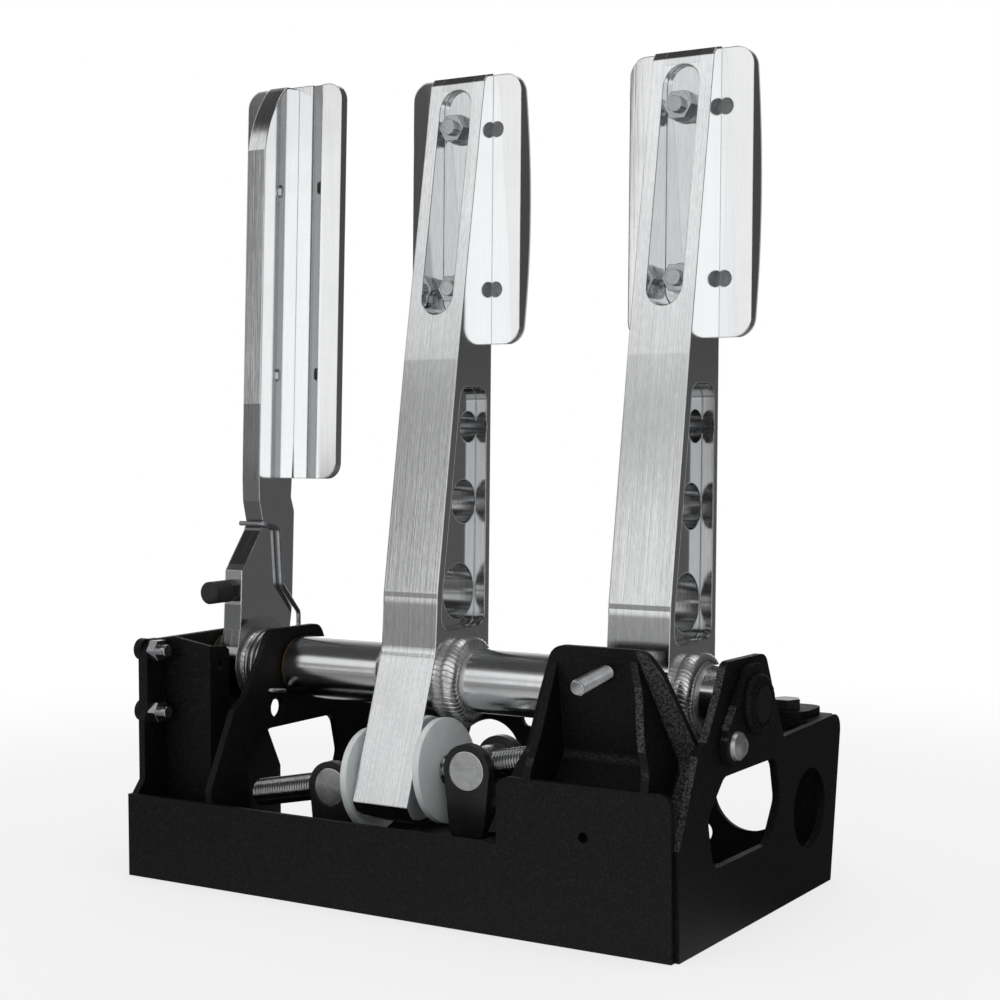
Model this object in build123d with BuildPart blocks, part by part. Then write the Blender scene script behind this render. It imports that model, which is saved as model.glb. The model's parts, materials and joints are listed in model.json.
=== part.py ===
from build123d import *
import math
import os

os.makedirs("parts", exist_ok=True)

# Frame: X runs across the three pedals, Y from the steel box's front panel to its rear wall, Z up.
# The origin is the middle of the whole part's footprint, at floor height.
left_x = -123.075        # left end of the front panel
front_y = -73.17         # front face of the front panel
sheet = 3.0              # steel plates of the box
panel_sheet = 2.5        # front panel
box_wide = 246.0         # left end to the right side plate's outer face
panel_right = box_wide - 1.7
floor_top = sheet

# Pivot spindle and what turns on it
pivot_y = front_y + 59.0
pivot_z = 80.9
spindle_dia = 15.0
run_clear = 0.05         # radial running clearance of every bush on the spindle
bush_dia = 18.0
bush_flange_dia = 24.0
bush_flange = 1.5
tube_dia = 25.4
end_play = 0.3           # side clearance of each pedal

# Stations along X
mid_plate_x = left_x + 39.0
left_plate_x = left_x + 0.5
right_plate_x = left_x + box_wide - sheet
brake_x = left_x + 110.6
clutch_x = right_plate_x - 32.2
arm_wide = 25.4
brake_tube_right = right_plate_x - 56.5


def side(points):
    """Side-view points (distance behind the front face, height) in the frame."""
    return [(front_y + y, z) for y, z in points]


def front(points):
    """Front-view points (distance from the left end, height) in the frame."""
    return [(left_x + x, z) for x, z in points]


def from_right(points):
    """Front-view points (distance right of the right side plate's inner face, height) in the frame."""
    return [(right_plate_x + x, z) for x, z in points]


def export(piece, label):
    piece.part.label = label
    export_step(piece.part, "parts/" + label + ".step")


# Steel box
PANEL_LOW = 33.0
PANEL_HIGH = 57.2
STEP_X = box_wide - 70.8
PANEL_HOLE = (box_wide - 35.5, 39.2)
with BuildPart() as front_panel:
    with BuildSketch(Plane.XZ.offset(-front_y)):
        with BuildLine():
            Polyline(front([(0.5, 0), (panel_right, 0), (panel_right, PANEL_HIGH), (STEP_X, PANEL_HIGH),
                            (STEP_X, PANEL_LOW), (0.5, PANEL_LOW)]), close=True)
        panel_face = make_face()
        fillet(panel_face.vertices().group_by(Axis.Y)[-1], radius=5.0)
        corners = [v for v in panel_face.vertices() if abs(v.Y - PANEL_LOW) < 0.1]
        fillet(corners, radius=5.0)
        with Locations((left_x + PANEL_HOLE[0], PANEL_HOLE[1])):
            Circle(1.9, mode=Mode.SUBTRACT)
    extrude(amount=-panel_sheet)
export(front_panel, "front_panel")

FLOOR_BACK = 133.6
MOUNT_HOLE = 8.5
MOUNT_X = (60.0, box_wide - 20.0)
floor_right = box_wide - sheet
MOUNT_Y = (16.0, 116.0)
with BuildPart() as floor_plate:
    with BuildSketch(Plane.XY):
        with BuildLine():
            Polyline([(left_x + x, front_y + y) for x, y in
                      [(3.5, 2.5), (floor_right, 2.5), (floor_right, FLOOR_BACK), (42, FLOOR_BACK), (42, 96),
                       (3.5, 96)]], close=True)
        make_face()
        with Locations(*[(left_x + x, front_y + y) for x in MOUNT_X for y in MOUNT_Y]):
            Circle(MOUNT_HOLE / 2, mode=Mode.SUBTRACT)
    extrude(amount=sheet)
    chamfer(floor_plate.edges().filter_by(Axis.X).group_by(Axis.Z)[0], length=0.5)
export(floor_plate, "floor_plate")

REAR_FOOT = 137.0        # rear wall's outer face at floor height
LEAN = math.atan2(9.8, 58.5)
PLATE_EDGE = [(146.8, 58.5), (146.8, 65.6), (119, 64.7), (90.5, 63.9), (81, 81.9), (73.6, 97.2),
              (40.2, 97.6), (34.3, 86.8), (23.7, 71.6), (17.2, 67.7), (2.5, 38.0)]
ROUND_HOLE = (115.2, 32.6, 15.5)
SCREW_AT = (41.4, 68.1)
SPRING_HOLE = (39.6, 72.9)
SPRING_HOLE_R = 1.5
D_TOP = 57.4


def side_plate(x_inner, foot_z, d_low, holes):
    """One of the two tall plates that carry the spindle: ears, D-shaped and round openings."""
    d_hole = [(38.0, D_TOP), (83.0, D_TOP), (86.9, 41.0), (77.0, d_low), (29.0, d_low), (24.6, 45.0)]
    with BuildPart() as plate:
        with BuildSketch(Plane.YZ.offset(x_inner)):
            with BuildLine():
                Polyline(side([(2.5, foot_z), (REAR_FOOT + foot_z * math.tan(LEAN), foot_z)] + PLATE_EDGE),
                         close=True)
            outline = make_face()
            ear = [v for v in outline.vertices() if v.Y > 95 or (v.Y > 65.2 and v.X > front_y + 140)]
            fillet(ear, radius=6.0)
            with BuildSketch(mode=Mode.PRIVATE) as opening:
                with BuildLine():
                    Polyline(side(d_hole), close=True)
                d_face = make_face()
                fillet(d_face.vertices(), radius=6.0)
            add(opening.sketch, mode=Mode.SUBTRACT)
            with Locations((front_y + ROUND_HOLE[0], ROUND_HOLE[1])):
                Circle(ROUND_HOLE[2], mode=Mode.SUBTRACT)
            with Locations((pivot_y, pivot_z)):
                Circle(spindle_dia / 2, mode=Mode.SUBTRACT)
            for hole_y, hole_z, hole_r in holes:
                with Locations((front_y + hole_y, hole_z)):
                    Circle(hole_r, mode=Mode.SUBTRACT)
        extrude(amount=sheet)
    return plate


M6_HOLE = 3.0
MID_SMALL_HOLE = 4.3
right_side_plate = side_plate(right_plate_x, 0.0, 26.2, [SCREW_AT + (M6_HOLE,)])
export(right_side_plate, "right_side_plate")
middle_plate = side_plate(mid_plate_x, floor_top, 14.0,
                          [(44.4, 65.3, MID_SMALL_HOLE), SPRING_HOLE + (SPRING_HOLE_R,)])
export(middle_plate, "middle_plate")

LEFT_BOLT_AT = ((13.0, 90.0), (13.0, 65.0))
with BuildPart() as left_side_plate:
    with BuildSketch(Plane.YZ.offset(left_plate_x)):
        with BuildLine():
            Polyline(side([(2.5, 0), (94, 0), (94, 30), (76, 66), (73, 94.2), (8.6, 94.2), (8.6, 66),
                           (6.7, 62), (6.7, 38), (2.5, 33)]), close=True)
        left_face = make_face()
        fillet([v for v in left_face.vertices() if v.Y > 90], radius=6.0)
        with Locations((pivot_y, pivot_z)):
            Circle(spindle_dia / 2, mode=Mode.SUBTRACT)
        with Locations(*side(LEFT_BOLT_AT)):
            Circle(2.5, mode=Mode.SUBTRACT)
    extrude(amount=sheet)
export(left_side_plate, "left_side_plate")

# Thin packing plate outside the left side plate, under the two bolt heads
with BuildPart() as left_packing_plate:
    with BuildSketch(Plane.YZ.offset(left_plate_x)):
        with BuildLine():
            Polyline(side([(8.6, 59.5), (20.5, 59.5), (20.5, 94.2), (8.6, 94.2)]), close=True)
        pack_face = make_face()
        fillet(pack_face.vertices(), radius=2.5)
        with Locations(*side(LEFT_BOLT_AT)):
            Circle(2.5, mode=Mode.SUBTRACT)
    extrude(amount=-1.5)
export(left_packing_plate, "left_packing_plate")

# Rear wall: leans back, holes for the three master cylinders
FLANGE_TOP = 65.0
FLANGE_DEEP = 23.0
FLANGE_OVERLAP = 1.886   # the flange stops this far short of the wall's outer face
FLANGE_MID = REAR_FOOT + (FLANGE_TOP - sheet) * math.tan(LEAN) - FLANGE_OVERLAP - 0.5 * FLANGE_DEEP
CYL_Z = 32.4
CYL_HOLE = 35.0
STUD_PCD = 57.15
STUD_HOLE = 8.4
TAB_AT = (right_plate_x - 13.0, front_y + FLANGE_MID - 4.0)
CYL_X = (brake_x - 27.4, brake_x + 36.0, clutch_x)
wall_plane = Plane(origin=(0, front_y + REAR_FOOT, 0), x_dir=(1, 0, 0),
                   z_dir=(0, -math.cos(LEAN), math.sin(LEAN)))
with BuildPart() as rear_wall:
    with BuildSketch(wall_plane):
        up = (FLANGE_TOP - sheet - sheet * math.sin(LEAN)) / math.cos(LEAN)
        with Locations(((mid_plate_x + sheet + right_plate_x) / 2, up / 2)):
            Rectangle(right_plate_x - mid_plate_x - sheet, up)
        slant = CYL_Z / math.cos(LEAN)
        with Locations(*[(x, slant) for x in CYL_X]):
            Circle(CYL_HOLE / 2, mode=Mode.SUBTRACT)
        for x in CYL_X:
            with Locations(*[(x + s * STUD_PCD / 2 * math.cos(math.radians(45)),
                              slant + s * STUD_PCD / 2 * math.sin(math.radians(45))) for s in (-1, 1)]):
                Circle(STUD_HOLE / 2, mode=Mode.SUBTRACT)
    extrude(amount=sheet)
export(rear_wall, "rear_wall")

# Flange: flat bar welded along the top of the rear wall, between the two side plates
with BuildPart() as rear_flange:
    with BuildSketch(Plane.XY.offset(FLANGE_TOP - sheet)):
        with Locations(((mid_plate_x + sheet + right_plate_x) / 2, front_y + FLANGE_MID)):
            Rectangle(right_plate_x - mid_plate_x - sheet, FLANGE_DEEP)
        with Locations(TAB_AT):
            Circle(M6_HOLE, mode=Mode.SUBTRACT)
    extrude(amount=sheet)
export(rear_flange, "rear_flange")

with BuildPart() as rear_tab:
    with BuildSketch(Plane.XY.offset(FLANGE_TOP)):
        with Locations((TAB_AT[0], TAB_AT[1] + 4.0)):
            RectangleRounded(20.0, 22.0, 6.0)
        with Locations(TAB_AT):
            Circle(M6_HOLE, mode=Mode.SUBTRACT)
    extrude(amount=sheet)
export(rear_tab, "rear_tab")


def hex_nut(radius_flats, bore):
    """Hexagon with a bored centre, in the sketch that is open."""
    RegularPolygon(radius_flats, 6, major_radius=False)
    Circle(bore, mode=Mode.SUBTRACT)


TAB_TOP = FLANGE_TOP + sheet
TAB_SHANK = 12.0
with BuildPart() as rear_tab_screw:
    with BuildSketch(Plane.XY.offset(TAB_TOP)):
        with Locations(TAB_AT):
            RegularPolygon(5.0, 6, major_radius=False)
    extrude(amount=4.0)
    with BuildSketch(Plane.XY.offset(TAB_TOP)):
        with Locations(TAB_AT):
            Circle(M6_HOLE)
    extrude(amount=-TAB_SHANK)
export(rear_tab_screw, "rear_tab_screw")

# Throttle stop channel: web across the left bay with a flange turned back
with BuildPart() as throttle_stop_channel:
    with BuildSketch(Plane.XZ.offset(-(front_y + 20.0))):
        with BuildLine():
            Polyline(front([(3.5, 3), (27, 3), (27, 92.0), (7.5, 95.0), (3.5, 92.0)]), close=True)
        web_face = make_face()
    extrude(amount=-2.0)
    with BuildSketch(Plane.YZ.offset(left_x + 25.0)):
        with BuildLine():
            Polyline(side([(21, 3), (32, 3), (32, 89.5), (30, 91.2), (21, 92.0)]), close=True)
        make_face()
        with Locations(*side([(26.5, 84.0)])):
            Circle(1.6, mode=Mode.SUBTRACT)
    extrude(amount=2.0)
export(throttle_stop_channel, "throttle_stop_channel")

# Clutch stop tower: leaning web with a fold, two ribs in front and the stop stud
TOWER_LEAN = math.atan2(24.0 - 18.6, 104.0 - 63.5)
TOWER_RUN = sheet / math.cos(TOWER_LEAN)
STUD_X = right_plate_x - 34.2
TOWER_WIDE = 78.0
STUD_Z = 93.6
RIB_ROOT = ((-22.9, 99.0), (-20.6, 93.2), (-17.1, 85.2), (-13.5, 74.8), (-10.2, 66.2), (-9.0, 62.3),
            (-8.6, 54.0), (-8.6, 44.0))
with BuildPart() as clutch_stop_tower:
    with BuildSketch(Plane.YZ.offset(right_plate_x - TOWER_WIDE)):
        with BuildLine():
            Polyline(side([(18.6, 104.0), (24.0, 63.5), (4.0, 36.0), (7.7, 36.0), (24.0 + TOWER_RUN, 62.5),
                           (24.0 + TOWER_RUN, 63.5), (18.6 + TOWER_RUN, 104.0)]), close=True)
        make_face()
    extrude(amount=TOWER_WIDE)
    with BuildSketch(Plane.XZ.offset(-front_y)):
        with BuildLine():
            Polyline(from_right([(-55.4, 102.6), (-18.5, 102.6), (-12.0, 94.4), (0.0, 68.0), (0.0, 30.0),
                                 (-74.0, 30.0), (-71.5, 58.0), (-62.5, 84.0)]), close=True)
        tower_face = make_face()
        fillet([v for v in tower_face.vertices() if v.Y > 80], radius=7.0)
    extrude(amount=-60.0, mode=Mode.INTERSECT)
    # straight left rib
    with BuildSketch(Plane.YZ.offset(right_plate_x - 56.5)):
        with BuildLine():
            Polyline(side([(20.5, 99.0), (7.7, 72.0), (0.0, 59.5), (0.0, PANEL_HIGH), (panel_sheet, PANEL_HIGH),
                           (panel_sheet, 45.0), (12.0, 45.0), (25.0, 63.0)]), close=True)
        make_face()
    extrude(amount=sheet)
    # right rib: slants outwards on its way down to the panel
    with BuildSketch(Plane.XZ.offset(-front_y), mode=Mode.PRIVATE) as rib_band:
        with BuildLine():
            Polyline(from_right([(x - sheet / 2, z) for x, z in RIB_ROOT] +
                                [(x + sheet / 2, z) for x, z in reversed(RIB_ROOT)]), close=True)
        make_face()
    with BuildSketch(Plane.YZ.offset(right_plate_x - TOWER_WIDE), mode=Mode.PRIVATE) as rib_side:
        with BuildLine():
            Polyline(side([(20.5, 98.5), (18.6, 98.5), (15.5, 90.0), (9.2, 80.0), (3.7, 70.0), (0.0, 58.5),
                           (0.0, PANEL_HIGH), (panel_sheet, PANEL_HIGH), (panel_sheet, 45.0), (12.0, 45.0),
                           (25.0, 63.0)]), close=True)
        make_face()
    band = extrude(rib_band.sketch, amount=-40.0, mode=Mode.PRIVATE)
    add(band & extrude(rib_side.sketch, amount=TOWER_WIDE, mode=Mode.PRIVATE))
    stud_y = front_y + 18.6 + (104.0 - STUD_Z) * math.tan(TOWER_LEAN)
    stud_plane = Plane(origin=(STUD_X, stud_y, STUD_Z), x_dir=(1, 0, 0),
                       z_dir=(0, math.cos(TOWER_LEAN), math.sin(TOWER_LEAN)))
    with BuildSketch(stud_plane.offset(-3.0)):
        Circle(M6_HOLE)
    extrude(amount=9.0, mode=Mode.SUBTRACT)
export(clutch_stop_tower, "clutch_stop_tower")

STUD_FORE = 21.2
STUD_AFT = 13.2
with BuildPart() as stop_stud:
    with BuildSketch(stud_plane.offset(-STUD_FORE)):
        Circle(3.0)
    extrude(amount=STUD_FORE + STUD_AFT)
    chamfer(stop_stud.edges().filter_by(GeomType.CIRCLE), length=0.6)
export(stop_stud, "stop_stud")
with BuildPart() as stop_stud_nut:
    with BuildSketch(stud_plane.offset(sheet)):
        hex_nut(5.0, M6_HOLE)
    extrude(amount=5.0)
export(stop_stud_nut, "stop_stud_nut")

# Spindle, its flag plate and the screw that holds the flag plate
FLAG_X = left_x + box_wide
SPINDLE_RIGHT = FLAG_X + 6.0
with BuildPart() as spindle:
    with BuildSketch(Plane.YZ.offset(left_plate_x)):
        with Locations((pivot_y, pivot_z)):
            Circle(spindle_dia / 2)
    extrude(amount=SPINDLE_RIGHT - left_plate_x)
    chamfer(spindle.edges().filter_by(GeomType.CIRCLE), length=0.8)
export(spindle, "spindle")

with BuildPart() as spindle_flag:
    with BuildSketch(Plane.YZ.offset(FLAG_X)):
        with BuildLine():
            Polyline(side([(41.4, 61.0), (67.0, 68.5), (73.5, 80.9), (67.0, 94.5), (54.0, 95.4), (33.6, 72.5)]),
                     close=True)
        flag_face = make_face()
        fillet(flag_face.vertices(), radius=6.0)
        with Locations((front_y + SCREW_AT[0], SCREW_AT[1])):
            Circle(7.2)
            Circle(M6_HOLE, mode=Mode.SUBTRACT)
        with Locations((pivot_y, pivot_z)):
            Circle(spindle_dia / 2, mode=Mode.SUBTRACT)
    extrude(amount=sheet)
export(spindle_flag, "spindle_flag")

WELD_R = 1.9
with BuildPart() as spindle_weld:
    with BuildSketch(Plane.XZ.offset(-pivot_y)):
        with BuildLine():
            Polyline([(FLAG_X + sheet, pivot_z + spindle_dia / 2), (FLAG_X + sheet, pivot_z + 11.6),
                      (FLAG_X + sheet + 1.0, pivot_z + 11.0), (FLAG_X + sheet + 1.9, pivot_z + spindle_dia / 2)],
                     close=True)
        make_face()
    revolve(axis=Axis((0, pivot_y, pivot_z), (1, 0, 0)), revolution_arc=360)
export(spindle_weld, "spindle_weld")

with BuildPart() as spindle_screw:
    with BuildSketch(Plane.XZ.offset(-(front_y + SCREW_AT[0]))):
        with BuildLine():
            Polyline([(FLAG_X - 8.0, SCREW_AT[1]), (FLAG_X - 8.0, SCREW_AT[1] + 3.0),
                      (FLAG_X + sheet, SCREW_AT[1] + 3.0), (FLAG_X + sheet, SCREW_AT[1] + 5.25),
                      (FLAG_X + sheet + 1.6, SCREW_AT[1] + 5.0), (FLAG_X + sheet + 3.3, SCREW_AT[1] + 3.0),
                      (FLAG_X + sheet + 3.3, SCREW_AT[1])], close=True)
        make_face()
    revolve(axis=Axis((0, front_y + SCREW_AT[0], SCREW_AT[1]), (1, 0, 0)), revolution_arc=360)
    with BuildSketch(Plane.YZ.offset(FLAG_X + sheet + 3.3)):
        with Locations((front_y + SCREW_AT[0], SCREW_AT[1])):
            RegularPolygon(2.0, 6, major_radius=False)
    extrude(amount=-1.9, mode=Mode.SUBTRACT)
export(spindle_screw, "spindle_screw")
with BuildPart() as spindle_screw_nut:
    with BuildSketch(Plane.YZ.offset(right_plate_x)):
        with Locations((front_y + SCREW_AT[0], SCREW_AT[1])):
            hex_nut(5.0, M6_HOLE)
    extrude(amount=-4.5)
export(spindle_screw_nut, "spindle_screw_nut")

# Two bolts through the packing plate, left side plate and their nuts
with BuildPart() as left_bolts:
    for by, bz in side(LEFT_BOLT_AT):
        with BuildSketch(Plane.YZ.offset(left_plate_x - 1.5)):
            with Locations((by, bz)):
                Circle(4.4)
        extrude(amount=-2.6)
        with BuildSketch(Plane.YZ.offset(left_plate_x - 1.5)):
            with Locations((by, bz)):
                Circle(2.5)
        extrude(amount=12.0)
export(left_bolts, "left_bolts")
with BuildPart() as left_bolt_nuts:
    with BuildSketch(Plane.YZ.offset(left_plate_x + sheet)):
        for by, bz in side(LEFT_BOLT_AT):
            with Locations((by, bz)):
                hex_nut(4.0, 2.5)
    extrude(amount=4.0)
export(left_bolt_nuts, "left_bolt_nuts")

# Pedal arms
FRONT_EDGE = [(83.5, 321.0), (79.5, 320.2), (77.3, 317.5), (56.6, 206.7), (41.5, 116.0), (40.0, 94.5),
              (39.3, 91.5), (19.6, 36.5)]
REAR_EDGE = [(78.0, 84.0), (78.0, 94.0), (79.4, 142.0), (80.9, 199.0), (84.0, 321.0)]
PAD_LEAN = math.atan2(84.0 - 80.9, 321.0 - 199.0)
BALANCE_AT = (38.5, 44.9)
NOSE_R = 16.0
HUB_R = 19.2
POCKET_DEEP = 5.0
WEB_HOLES = ((71.7, 180.1, 12.3), (67.9, 150.5, 17.2), (63.7, 115.0, 22.0))
SLOT_WIDE = 14.8
SLOT_Z = (224.0, 314.5)
SLOT_FLOOR = 4.5         # metal left between the slot's floor and the pad
WASHER_THICK = 1.6
NUT_THICK = 5.0
STUD_OVER = 2.5          # stud end beyond the nut
STUD_IN_PAD = 4.0
PAD_BOLT_Z = (235.0, 298.9)
BALL_SLEEVE_DIA = 22.0


PAD_WIDE = 51.5
PAD_TALL = 107.5
PAD_MID_Z = 266.8
PAD_THICK = 7.5
PAD_EDGE = 2.5
GRIP = 0.8
PAD_SIDE_HOLE = 14.5
pad_mid_y = front_y + 80.9 + (PAD_MID_Z - 199.0) * math.tan(PAD_LEAN)


def pad_plane(x_mid, lift=0.0):
    """Plane on the pad's back face: local x across, local y up the pad, normal to the foot side."""
    return Plane(origin=(x_mid, pad_mid_y, PAD_MID_Z), x_dir=(-1, 0, 0),
                 z_dir=(0, math.cos(PAD_LEAN), -math.sin(PAD_LEAN))).offset(lift)


def up_pad(z):
    """Height z measured up the leaning pad from its middle."""
    return (z - PAD_MID_Z) / math.cos(PAD_LEAN)


def pedal_arm(x_mid, lower_bore):
    """Arm milled from one bar: side pockets and lightening holes below, bolt slot above."""
    low = 0.5 * arm_wide
    with BuildPart() as arm:
        with BuildSketch(Plane.YZ.offset(x_mid - low)):
            with BuildLine():
                Polyline(side(FRONT_EDGE + [(50.0, 33.5), (66.5, 64.5)] + REAR_EDGE), close=True)
            make_face()
            with Locations((pivot_y, pivot_z)):
                Circle(HUB_R)
            with Locations(*side([BALANCE_AT])):
                Circle(NOSE_R)
            with Locations((pivot_y, pivot_z)):
                Circle(tube_dia / 2, mode=Mode.SUBTRACT)
            with Locations(*side([BALANCE_AT])):
                Circle(lower_bore / 2, mode=Mode.SUBTRACT)
            with Locations(*side([(y, z) for y, z, d in WEB_HOLES[:1]])):
                Circle(WEB_HOLES[0][2] / 2, mode=Mode.SUBTRACT)
            with Locations(*side([(y, z) for y, z, d in WEB_HOLES[1:2]])):
                Circle(WEB_HOLES[1][2] / 2, mode=Mode.SUBTRACT)
            with Locations(*side([(y, z) for y, z, d in WEB_HOLES[2:]])):
                Circle(WEB_HOLES[2][2] / 2, mode=Mode.SUBTRACT)
        extrude(amount=arm_wide)
        # side pockets
        for start, deep in ((x_mid - low, POCKET_DEEP), (x_mid + low, -POCKET_DEEP)):
            with BuildSketch(Plane.YZ.offset(start)):
                with BuildLine():
                    Polyline(side([(59.2, 196.0), (45.1, 116.0), (43.6, 101.0), (75.0, 101.0), (76.3, 142.0),
                                   (77.8, 196.0)]), close=True)
                pocket = make_face()
                fillet(pocket.vertices(), radius=5.5)
            extrude(amount=deep, mode=Mode.SUBTRACT)
        # bolt slot in the upper half, open to the front, its floor parallel to the pad
        with BuildSketch(pad_plane(x_mid, -SLOT_FLOOR)):
            with Locations((0.0, up_pad(0.5 * (SLOT_Z[0] + SLOT_Z[1])))):
                SlotOverall(SLOT_Z[1] - SLOT_Z[0], SLOT_WIDE, rotation=90)
        extrude(amount=-60.0, mode=Mode.SUBTRACT)
        with BuildSketch(pad_plane(x_mid, 2.0)):
            with Locations(*[(0.0, up_pad(z)) for z in PAD_BOLT_Z]):
                Circle(M6_HOLE)
        extrude(amount=-20.0, mode=Mode.SUBTRACT)
    return arm


brake_arm = pedal_arm(brake_x, BALL_SLEEVE_DIA)
export(brake_arm, "brake_arm")
CLUTCH_PIN = 8.0
clutch_arm = pedal_arm(clutch_x, CLUTCH_PIN)
export(clutch_arm, "clutch_arm")


def pivot_tube(x_left, x_right):
    """Pivot tube on the spindle axis."""
    with BuildPart() as tube:
        with BuildSketch(Plane.YZ.offset(x_left)):
            with Locations((pivot_y, pivot_z)):
                Circle(tube_dia / 2)
                Circle(bush_dia / 2, mode=Mode.SUBTRACT)
        extrude(amount=x_right - x_left)
    return tube


BUSH_LONG = 20.0
THROTTLE_BUSH_LONG = 12.0


def bush_pair(x_left, x_right, bush_long):
    """Two flanged bushes, flanges outside the tube's ends at x_left and x_right."""
    with BuildPart() as pair:
        for x_end, inward in ((x_left, 1.0), (x_right, -1.0)):
            with BuildSketch(Plane.YZ.offset(x_end)):
                with Locations((pivot_y, pivot_z)):
                    Circle(bush_dia / 2)
                    Circle(spindle_dia / 2 + run_clear, mode=Mode.SUBTRACT)
            extrude(amount=inward * bush_long)
            with BuildSketch(Plane.YZ.offset(x_end)):
                with Locations((pivot_y, pivot_z)):
                    Circle(bush_flange_dia / 2)
                    Circle(spindle_dia / 2 + run_clear, mode=Mode.SUBTRACT)
            extrude(amount=-inward * bush_flange)
    return pair


brake_tube_left = mid_plate_x + sheet + end_play + bush_flange
brake_tube = pivot_tube(brake_tube_left, brake_tube_right - bush_flange)
export(brake_tube, "brake_tube")
brake_bushes = bush_pair(brake_tube_left, brake_tube_right - bush_flange, BUSH_LONG)
export(brake_bushes, "brake_bushes")
clutch_tube_left = brake_tube_right + end_play + bush_flange
clutch_tube_right = right_plate_x - end_play - bush_flange
clutch_tube = pivot_tube(clutch_tube_left, clutch_tube_right)
export(clutch_tube, "clutch_tube")
clutch_bushes = bush_pair(clutch_tube_left, clutch_tube_right, BUSH_LONG)
export(clutch_bushes, "clutch_bushes")

# Foot pads
BOW_R = (0.25 * PAD_TALL ** 2 + (PAD_THICK - PAD_EDGE) ** 2) / (2 * (PAD_THICK - PAD_EDGE))


def bowed_slab(x_mid, near, far, holes, hole_r):
    """Slab between two bowed foot-side surfaces; the near one may be the flat back."""
    side_plane = Plane(origin=(x_mid, pad_mid_y, PAD_MID_Z),
                       x_dir=(0, math.cos(PAD_LEAN), -math.sin(PAD_LEAN)), z_dir=(1, 0, 0))
    half = 0.5 * PAD_TALL
    with BuildPart() as slab:
        with BuildSketch(side_plane.offset(-0.5 * PAD_WIDE)):
            with BuildLine():
                if near is None:
                    Line((0, -half), (0, half))
                else:
                    ThreePointArc((PAD_EDGE + near, -half), (PAD_THICK + near, 0), (PAD_EDGE + near, half))
                ThreePointArc((PAD_EDGE + far, -half), (PAD_THICK + far, 0), (PAD_EDGE + far, half))
                Line((0 if near is None else PAD_EDGE + near, -half), (PAD_EDGE + far, -half))
                Line((0 if near is None else PAD_EDGE + near, half), (PAD_EDGE + far, half))
            make_face()
        extrude(amount=PAD_WIDE)
        with BuildSketch(pad_plane(x_mid, -2.0)):
            RectangleRounded(PAD_WIDE, PAD_TALL, 7.0)
            if holes:
                with Locations(*holes):
                    Circle(hole_r, mode=Mode.SUBTRACT)
        extrude(amount=20.0, mode=Mode.INTERSECT)
    return slab


CENTRE_HOLES = [(0.0, up_pad(z)) for z in PAD_BOLT_Z]
SIDE_HOLES = [(s * PAD_SIDE_HOLE, up_pad(z)) for z in PAD_BOLT_Z for s in (-1, 1)]


def pad_body(x_mid):
    """Foot pad with two bolt holes on its middle line and four lightening holes beside them."""
    with BuildPart() as pad:
        add(bowed_slab(x_mid, None, 0.0, CENTRE_HOLES + SIDE_HOLES, M6_HOLE).part)
    return pad


def grip_sheet(x_mid):
    """Thin grip sheet bonded on the bowed face."""
    with BuildPart() as sheet_part:
        add(bowed_slab(x_mid, 0.0, GRIP, [], 0.0).part)
    return sheet_part


def pad_bolts(x_mid):
    """Two M6 studs set in the pad under the grip sheet, through the arm into its slot."""
    with BuildPart() as bolts:
        for z in PAD_BOLT_Z:
            with BuildSketch(pad_plane(x_mid, STUD_IN_PAD)):
                with Locations((0.0, up_pad(z))):
                    Circle(M6_HOLE)
            extrude(amount=-(STUD_IN_PAD + SLOT_FLOOR + WASHER_THICK + NUT_THICK + STUD_OVER))
    return bolts


def pad_nuts(x_mid, seat, thick, flats, round_washer):
    """Nuts or washers seated in the arm's slot, at 'seat' in front of the pad's back face."""
    with BuildPart() as nuts:
        with BuildSketch(pad_plane(x_mid, -seat)):
            for z in PAD_BOLT_Z:
                with Locations((0.0, up_pad(z))):
                    if round_washer:
                        Circle(flats)
                        Circle(M6_HOLE, mode=Mode.SUBTRACT)
                    else:
                        hex_nut(flats, M6_HOLE)
        extrude(amount=-thick)
    return nuts


for name, x_mid in (("brake", brake_x), ("clutch", clutch_x)):
    export(pad_body(x_mid), name + "_pad")
    export(grip_sheet(x_mid), name + "_grip")
    export(pad_bolts(x_mid), name + "_pad_bolts")
    export(pad_nuts(x_mid, SLOT_FLOOR, WASHER_THICK, 6.0, True), name + "_pad_washers")
    export(pad_nuts(x_mid, SLOT_FLOOR + WASHER_THICK, NUT_THICK, 5.0, False), name + "_pad_nuts")

# Balance bar
ball_y = front_y + BALANCE_AT[0]
ball_z = BALANCE_AT[1]
BAR_TILT = 11.0
DISC_TILT = 5.5
BAR_DIA = 11.1
BAR_END_GAP = 12.6       # from the bar's half length to the clutch arm's face
BAR_HALF = clutch_x - brake_x - 0.5 * arm_wide - BAR_END_GAP
BALL_DIA = 19.0
BALL_LONG = 15.0
SLEEVE_BORE = BALL_DIA + 2 * run_clear
bar_plane = Plane(origin=(brake_x, ball_y, ball_z), x_dir=(0, 1, 0),
                  z_dir=(math.cos(math.radians(BAR_TILT)), 0, math.sin(math.radians(BAR_TILT))))

with BuildPart() as balance_sleeve:
    with BuildSketch(Plane.YZ.offset(brake_x - 13.2)):
        with Locations((ball_y, ball_z)):
            Circle(BALL_SLEEVE_DIA / 2)
            Circle(SLEEVE_BORE / 2, mode=Mode.SUBTRACT)
    extrude(amount=27.9)
export(balance_sleeve, "balance_sleeve")

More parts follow.
